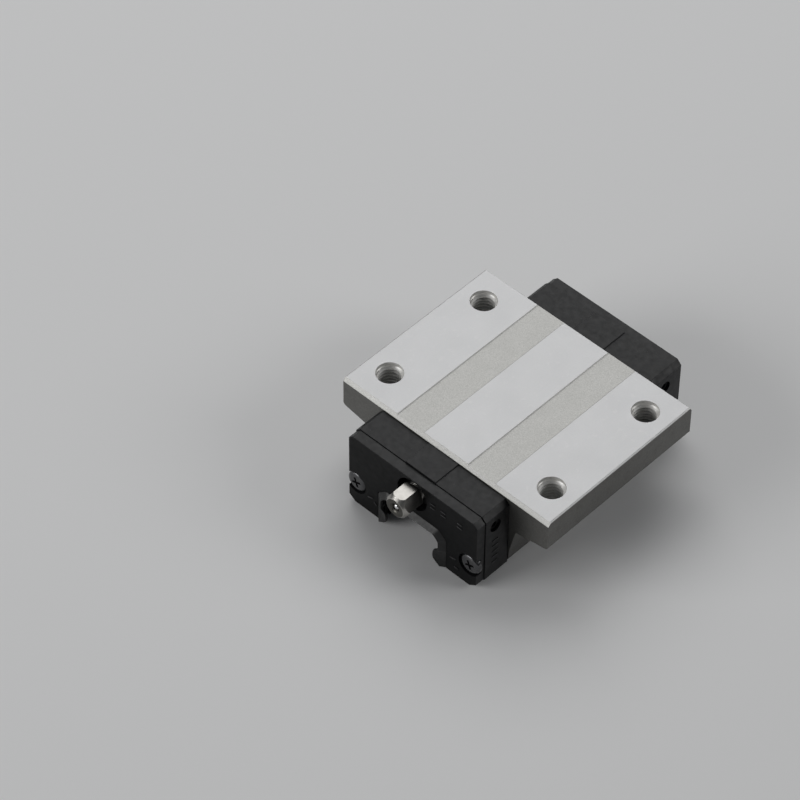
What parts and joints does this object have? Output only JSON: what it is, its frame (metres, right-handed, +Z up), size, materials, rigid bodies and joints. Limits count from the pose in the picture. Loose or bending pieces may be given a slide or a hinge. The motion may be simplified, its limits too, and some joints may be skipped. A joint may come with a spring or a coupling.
{
  "type": "linear guide carriage",
  "caption": "Flanged linear guide carriage: steel block with tapped holes, plastic end caps, end seals, grease nipple and recirculating ball circuits.",
  "frame": {"origin": "centre of the ground top mounting face, midway between the four tapped holes", "axes": "+Z up out of the mounting face, Y along the rail (the travel direction) with the grease nipple at -Y, X across the rail"},
  "size_m": [0.052, 0.0622, 0.0195],
  "materials": {
    "steel": "ground and blasted bearing steel",
    "ball": "polished bearing steel",
    "cap_plastic": "moulded black glass-filled nylon",
    "guide_plastic": "moulded dark acetal",
    "seal": "moulded nitrile rubber on a steel core",
    "lip": "soft black nitrile rubber",
    "screw": "black oxide",
    "nickel": "nickel plate",
    "spring": "bright drawn wire"
  },
  "bodies": {
    "carriage": {"carriage_block": "steel", "front_end_cap": "cap_plastic", "front_end_seal": "seal", "front_seal_lip": "lip", "rear_end_cap": "cap_plastic", "rear_end_seal": "seal", "rear_seal_lip": "lip", "left_bottom_seal": "lip", "right_bottom_seal": "lip", "left_ball_retainer": "guide_plastic", "right_ball_retainer": "guide_plastic", "front_left_upper_turn_guide": "guide_plastic", "front_left_lower_turn_guide": "guide_plastic", "front_right_upper_turn_guide": "guide_plastic", "front_right_lower_turn_guide": "guide_plastic", "rear_left_upper_turn_guide": "guide_plastic", "rear_left_lower_turn_guide": "guide_plastic", "rear_right_upper_turn_guide": "guide_plastic", "rear_right_lower_turn_guide": "guide_plastic", "front_left_cap_screw": "screw", "front_right_cap_screw": "screw", "rear_left_cap_screw": "screw", "rear_right_cap_screw": "screw", "grease_nipple": "nickel", "nipple_spring": "spring", "rear_port_plug": "screw"},
    "nipple_check_ball": {"nipple_ball": "ball"},
    "left_upper_load_row": {"left_upper_load_balls": "ball"},
    "left_upper_return_row": {"left_upper_return_balls": "ball"},
    "left_upper_front_turn": {"left_upper_front_turn_balls": "ball"},
    "left_upper_rear_turn": {"left_upper_rear_turn_balls": "ball"},
    "left_lower_load_row": {"left_lower_load_balls": "ball"},
    "left_lower_return_row": {"left_lower_return_balls": "ball"},
    "left_lower_front_turn": {"left_lower_front_turn_balls": "ball"},
    "left_lower_rear_turn": {"left_lower_rear_turn_balls": "ball"},
    "right_upper_load_row": {"right_upper_load_balls": "ball"},
    "right_upper_return_row": {"right_upper_return_balls": "ball"},
    "right_upper_front_turn": {"right_upper_front_turn_balls": "ball"},
    "right_upper_rear_turn": {"right_upper_rear_turn_balls": "ball"},
    "right_lower_load_row": {"right_lower_load_balls": "ball"},
    "right_lower_return_row": {"right_lower_return_balls": "ball"},
    "right_lower_front_turn": {"right_lower_front_turn_balls": "ball"},
    "right_lower_rear_turn": {"right_lower_rear_turn_balls": "ball"}
  },
  "joints": [
    {"name": "left_upper_circulation", "type": "slide", "parent": "carriage", "child": "left_upper_load_row", "axis": [0, 1, 0], "range_m": [-0.00157, 0.00157]},
    {"name": "left_upper_return", "type": "slide", "parent": "carriage", "child": "left_upper_return_row", "axis": [0, 1, 0], "range_m": [-0.00157, 0.00157]},
    {"name": "left_upper_front_turn_roll", "type": "hinge", "parent": "carriage", "child": "left_upper_front_turn", "pos_m": [-0.00934, -0.02042, -0.01067], "axis": [-0.766, 0, -0.6428], "range_deg": [-45.1, 45.1]},
    {"name": "left_upper_rear_turn_roll", "type": "hinge", "parent": "carriage", "child": "left_upper_rear_turn", "pos_m": [-0.00934, 0.02042, -0.01067], "axis": [-0.766, 0, -0.6428], "range_deg": [-45.1, 45.1]},
    {"name": "left_lower_circulation", "type": "slide", "parent": "carriage", "child": "left_lower_load_row", "axis": [0, 1, 0], "range_m": [-0.00157, 0.00157]},
    {"name": "left_lower_return", "type": "slide", "parent": "carriage", "child": "left_lower_return_row", "axis": [0, 1, 0], "range_m": [-0.00157, 0.00157]},
    {"name": "left_lower_front_turn_roll", "type": "hinge", "parent": "carriage", "child": "left_lower_front_turn", "pos_m": [-0.01005, -0.02042, -0.01575], "axis": [0, 0, -1], "range_deg": [-45.1, 45.1]},
    {"name": "left_lower_rear_turn_roll", "type": "hinge", "parent": "carriage", "child": "left_lower_rear_turn", "pos_m": [-0.01005, 0.02042, -0.01575], "axis": [0, 0, -1], "range_deg": [-45.1, 45.1]},
    {"name": "right_upper_circulation", "type": "slide", "parent": "carriage", "child": "right_upper_load_row", "axis": [0, 1, 0], "range_m": [-0.00157, 0.00157]},
    {"name": "right_upper_return", "type": "slide", "parent": "carriage", "child": "right_upper_return_row", "axis": [0, 1, 0], "range_m": [-0.00157, 0.00157]},
    {"name": "right_upper_front_turn_roll", "type": "hinge", "parent": "carriage", "child": "right_upper_front_turn", "pos_m": [0.00934, -0.02042, -0.01067], "axis": [-0.766, 0, 0.6428], "range_deg": [-45.1, 45.1]},
    {"name": "right_upper_rear_turn_roll", "type": "hinge", "parent": "carriage", "child": "right_upper_rear_turn", "pos_m": [0.00934, 0.02042, -0.01067], "axis": [-0.766, 0, 0.6428], "range_deg": [-45.1, 45.1]},
    {"name": "right_lower_circulation", "type": "slide", "parent": "carriage", "child": "right_lower_load_row", "axis": [0, 1, 0], "range_m": [-0.00157, 0.00157]},
    {"name": "right_lower_return", "type": "slide", "parent": "carriage", "child": "right_lower_return_row", "axis": [0, 1, 0], "range_m": [-0.00157, 0.00157]},
    {"name": "right_lower_front_turn_roll", "type": "hinge", "parent": "carriage", "child": "right_lower_front_turn", "pos_m": [0.01005, -0.02042, -0.01575], "axis": [0, 0, 1], "range_deg": [-45.1, 45.1]},
    {"name": "right_lower_rear_turn_roll", "type": "hinge", "parent": "carriage", "child": "right_lower_rear_turn", "pos_m": [0.01005, 0.02042, -0.01575], "axis": [0, 0, 1], "range_deg": [-45.1, 45.1]},
    {"name": "nipple_ball_slide", "type": "slide", "parent": "carriage", "child": "nipple_check_ball", "axis": [0, 1, 0], "range_m": [0, 0.0006], "stiffness_N_per_m": 150, "springref_m": -0.0005, "deforming": ["nipple_spring"]}
  ],
  "couplings": [
    {"joint": "left_upper_return", "follows": "left_upper_circulation", "ratio": -1},
    {"joint": "left_upper_front_turn_roll", "follows": "left_upper_circulation", "rad_per_m": -500},
    {"joint": "left_upper_rear_turn_roll", "follows": "left_upper_circulation", "rad_per_m": -500},
    {"joint": "left_lower_return", "follows": "left_lower_circulation", "ratio": -1},
    {"joint": "left_lower_front_turn_roll", "follows": "left_lower_circulation", "rad_per_m": -500},
    {"joint": "left_lower_rear_turn_roll", "follows": "left_lower_circulation", "rad_per_m": -500},
    {"joint": "right_upper_return", "follows": "right_upper_circulation", "ratio": -1},
    {"joint": "right_upper_front_turn_roll", "follows": "right_upper_circulation", "rad_per_m": -500},
    {"joint": "right_upper_rear_turn_roll", "follows": "right_upper_circulation", "rad_per_m": -500},
    {"joint": "right_lower_return", "follows": "right_lower_circulation", "ratio": -1},
    {"joint": "right_lower_front_turn_roll", "follows": "right_lower_circulation", "rad_per_m": -500},
    {"joint": "right_lower_rear_turn_roll", "follows": "right_lower_circulation", "rad_per_m": -500}
  ]
}
